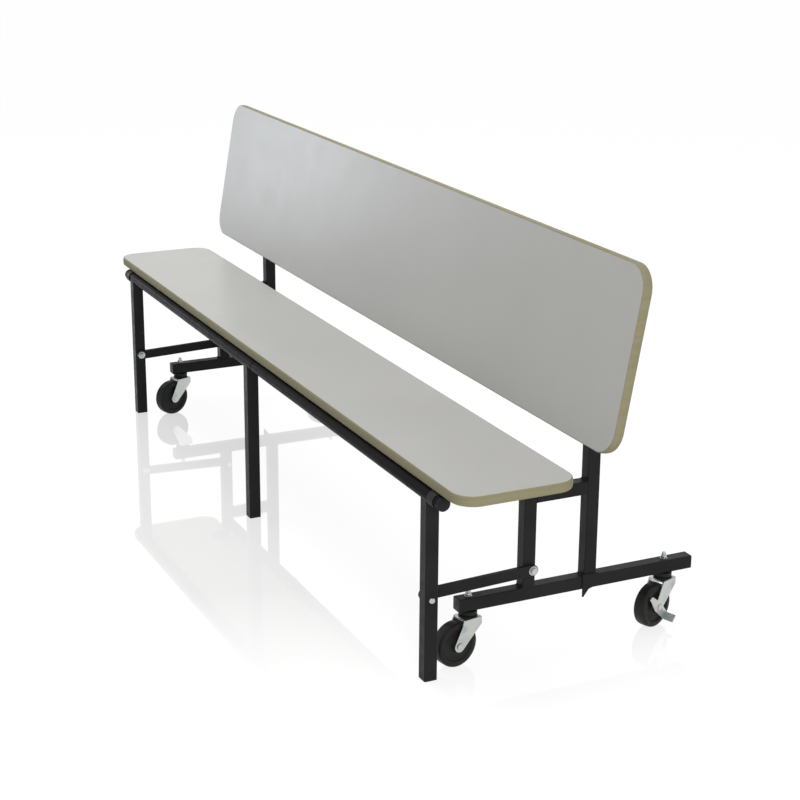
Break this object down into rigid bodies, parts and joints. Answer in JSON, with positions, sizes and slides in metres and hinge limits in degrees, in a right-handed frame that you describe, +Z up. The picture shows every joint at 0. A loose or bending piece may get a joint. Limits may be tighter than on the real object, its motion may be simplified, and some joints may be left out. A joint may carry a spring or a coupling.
{
  "type": "mobile convertible bench",
  "caption": "Long bench on casters with a flat seat on folding front legs and a tilted back panel that swings down flat as half of a table top.",
  "frame": {"origin": "on the floor, at the middle of the bench's length and of its depth", "axes": "+X along the bench towards its right end as seen from the front, +Y towards the rear, +Z up"},
  "size_m": [2.294, 0.6844, 0.8855],
  "materials": {
    "black_paint": "satin black paint on steel",
    "laminate_board": "grey satin laminate over a wood core",
    "vinyl_band": "olive tan vinyl edge band",
    "zinc_plate": "bright zinc plating",
    "wheel_rubber": "hard black rubber",
    "black_plastic": "moulded black plastic"
  },
  "bodies": {
    "frame": {"base_rail_left": "black_paint", "base_rail_right": "black_paint", "front_upright_left": "black_paint", "front_upright_right": "black_paint", "rear_upright_left": "black_paint", "rear_upright_right": "black_paint", "seat_arm_left": "black_paint", "seat_arm_right": "black_paint", "foot_plate_left": "black_paint", "foot_plate_right": "black_paint", "stretcher": "black_paint", "seat_hinge_pin_left": "zinc_plate", "seat_hinge_pin_right": "zinc_plate", "link_upright_bolt_left": "zinc_plate", "link_upright_bolt_right": "zinc_plate", "back_pivot_plate_left": "black_paint", "back_pivot_plate_right": "black_paint", "back_pivot_bolt_left": "zinc_plate", "back_pivot_bolt_right": "zinc_plate", "caster_head_front_left": "zinc_plate", "caster_head_front_right": "zinc_plate", "caster_head_rear_left": "zinc_plate", "caster_head_rear_right": "zinc_plate"},
    "seat": {"seat_board": "laminate_board", "seat_edge_band": "vinyl_band", "seat_hinge_bracket_left": "black_paint", "seat_hinge_bracket_right": "black_paint", "tube_clip_left": "black_paint", "tube_clip_right": "black_paint"},
    "leg_frame": {"front_tube_left": "black_paint", "front_tube_right": "black_paint", "leg_left": "black_paint", "leg_centre": "black_paint", "leg_right": "black_paint", "foot_glide_left": "black_plastic", "foot_glide_centre": "black_plastic", "foot_glide_right": "black_plastic", "link_leg_bolt_left": "zinc_plate", "link_leg_bolt_right": "zinc_plate"},
    "link_left_body": {"link_left": "black_paint"},
    "link_right_body": {"link_right": "black_paint"},
    "back": {"back_panel": "laminate_board", "back_edge_band": "vinyl_band", "back_rail": "black_paint", "back_swing_bracket_left": "black_paint", "back_swing_bracket_right": "black_paint"},
    "caster_front_left": {"caster_fork_front_left": "zinc_plate", "caster_axle_front_left": "zinc_plate"},
    "caster_front_right": {"caster_fork_front_right": "zinc_plate", "caster_axle_front_right": "zinc_plate"},
    "caster_rear_left": {"caster_fork_rear_left": "zinc_plate", "caster_axle_rear_left": "zinc_plate"},
    "caster_rear_right": {"caster_fork_rear_right": "zinc_plate", "caster_axle_rear_right": "zinc_plate"},
    "wheel_front_left": {"caster_wheel_front_left": "wheel_rubber"},
    "wheel_front_right": {"caster_wheel_front_right": "wheel_rubber"},
    "wheel_rear_left": {"caster_wheel_rear_left": "wheel_rubber"},
    "wheel_rear_right": {"caster_wheel_rear_right": "wheel_rubber"},
    "brake_rear_left": {"brake_lever_rear_left": "zinc_plate"},
    "brake_rear_right": {"brake_lever_rear_right": "zinc_plate"}
  },
  "joints": [
    {"name": "seat_fold", "type": "hinge", "parent": "frame", "child": "seat", "pos_m": [0, -0.06875, 0.421], "axis": [-1, 0, 0], "range_deg": [0, 85]},
    {"name": "leg_fold", "type": "hinge", "parent": "seat", "child": "leg_frame", "pos_m": [0, -0.32475, 0.412], "axis": [-1, 0, 0], "range_deg": [-85, 0]},
    {"name": "link_left_pivot", "type": "hinge", "parent": "frame", "child": "link_left_body", "pos_m": [-0.956, -0.06875, 0.1925], "axis": [-1, 0, 0], "range_deg": [0, 85]},
    {"name": "link_right_pivot", "type": "hinge", "parent": "frame", "child": "link_right_body", "pos_m": [0.956, -0.06875, 0.1925], "axis": [-1, 0, 0], "range_deg": [0, 85]},
    {"name": "back_flip", "type": "hinge", "parent": "frame", "child": "back", "pos_m": [0, 0.12225, 0.63324], "axis": [-1, 0, 0], "range_deg": [0, 80]},
    {"name": "swivel_front_left", "type": "hinge", "parent": "frame", "child": "caster_front_left", "pos_m": [-0.936, -0.21125, 0.106], "axis": [0, 0, 1], "continuous": true},
    {"name": "swivel_front_right", "type": "hinge", "parent": "frame", "child": "caster_front_right", "pos_m": [0.936, -0.21125, 0.106], "axis": [0, 0, 1], "continuous": true},
    {"name": "swivel_rear_left", "type": "hinge", "parent": "frame", "child": "caster_rear_left", "pos_m": [-0.936, 0.27925, 0.106], "axis": [0, 0, 1], "continuous": true},
    {"name": "swivel_rear_right", "type": "hinge", "parent": "frame", "child": "caster_rear_right", "pos_m": [0.936, 0.27925, 0.106], "axis": [0, 0, 1], "continuous": true},
    {"name": "wheel_front_left_spin", "type": "hinge", "parent": "caster_front_left", "child": "wheel_front_left", "pos_m": [-0.92518, -0.24454, 0.05], "axis": [0.9511, 0.309, 0], "continuous": true},
    {"name": "wheel_front_right_spin", "type": "hinge", "parent": "caster_front_right", "child": "wheel_front_right", "pos_m": [0.94208, -0.24572, 0.05], "axis": [0.9848, 0.1736, 0], "continuous": true},
    {"name": "wheel_rear_left_spin", "type": "hinge", "parent": "caster_rear_left", "child": "wheel_rear_left", "pos_m": [-0.92753, 0.24529, 0.05], "axis": [0.9703, 0.2419, 0], "continuous": true},
    {"name": "wheel_rear_right_spin", "type": "hinge", "parent": "caster_rear_right", "child": "wheel_rear_right", "pos_m": [0.94797, 0.24636, 0.05], "axis": [0.9397, 0.342, 0], "continuous": true},
    {"name": "brake_rear_left_press", "type": "hinge", "parent": "caster_rear_left", "child": "brake_rear_left", "pos_m": [-0.92753, 0.24529, 0.05], "axis": [-0.9703, -0.2419, 0], "range_deg": [0, 12]},
    {"name": "brake_rear_right_press", "type": "hinge", "parent": "caster_rear_right", "child": "brake_rear_right", "pos_m": [0.94797, 0.24636, 0.05], "axis": [-0.9397, -0.342, 0], "range_deg": [0, 12]}
  ],
  "couplings": [
    {"joint": "leg_fold", "follows": "seat_fold", "ratio": -1},
    {"joint": "link_left_pivot", "follows": "seat_fold", "ratio": 1},
    {"joint": "link_right_pivot", "follows": "seat_fold", "ratio": 1}
  ]
}
